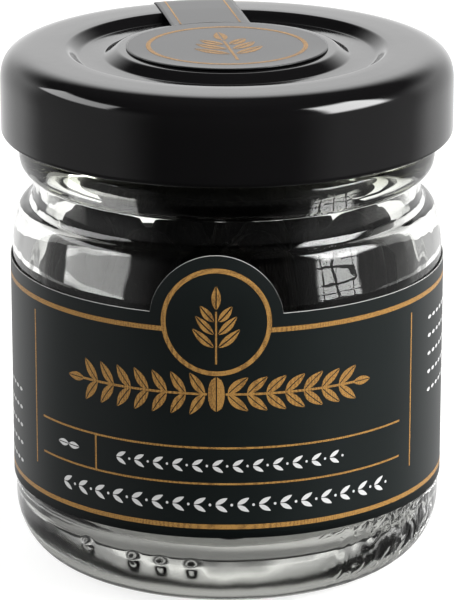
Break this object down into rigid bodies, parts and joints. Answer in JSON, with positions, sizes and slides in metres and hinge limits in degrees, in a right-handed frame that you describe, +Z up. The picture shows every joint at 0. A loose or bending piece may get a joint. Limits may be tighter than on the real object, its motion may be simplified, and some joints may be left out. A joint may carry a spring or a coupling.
{
  "type": "glass spice jar of tonka beans",
  "caption": "Small round glass jar of whole tonka beans, with a black twist-off lid, a wrap-round paper label and a paper seal over the lid.",
  "frame": {"origin": "centre of the flat bearing ring that the jar stands on, at the height of the surface", "axes": "+Z up along the jar's axis, -Y towards the front of the label, +X to the right seen from the front"},
  "size_m": [0.0452, 0.0454, 0.0522],
  "materials": {
    "clear_glass": "clear, faintly green, smooth",
    "lid_enamel": "black gloss enamel",
    "sealing_compound": "matt",
    "label_paper": "satin black print with gold rules",
    "seal_paper": "satin black print with gold rules",
    "bean_skin": "wrinkled, dark brown to black, faintly frosted"
  },
  "bodies": {
    "jar": {"glass_jar": "clear_glass", "jar_label": "label_paper", "bean_01": "bean_skin", "bean_02": "bean_skin", "bean_03": "bean_skin", "bean_04": "bean_skin", "bean_05": "bean_skin", "bean_06": "bean_skin", "bean_07": "bean_skin", "bean_08": "bean_skin", "bean_09": "bean_skin", "bean_10": "bean_skin", "bean_11": "bean_skin", "bean_12": "bean_skin", "bean_13": "bean_skin", "bean_14": "bean_skin"},
    "liner": {"lid_liner": "sealing_compound"},
    "lid": {"lid_shell": "lid_enamel", "lid_seal": "seal_paper"}
  },
  "joints": [
    {"name": "lid_rise", "type": "slide", "parent": "jar", "child": "liner", "axis": [0, 0, 1], "range_m": [0, 0.00142]},
    {"name": "lid_turn", "type": "hinge", "parent": "liner", "child": "lid", "pos_m": [0, 0, 0.048], "axis": [0, 0, 1], "range_deg": [0, 65]}
  ],
  "couplings": [
    {"joint": "lid_rise", "follows": "lid_turn", "m_per_rad": 0.0012414}
  ]
}
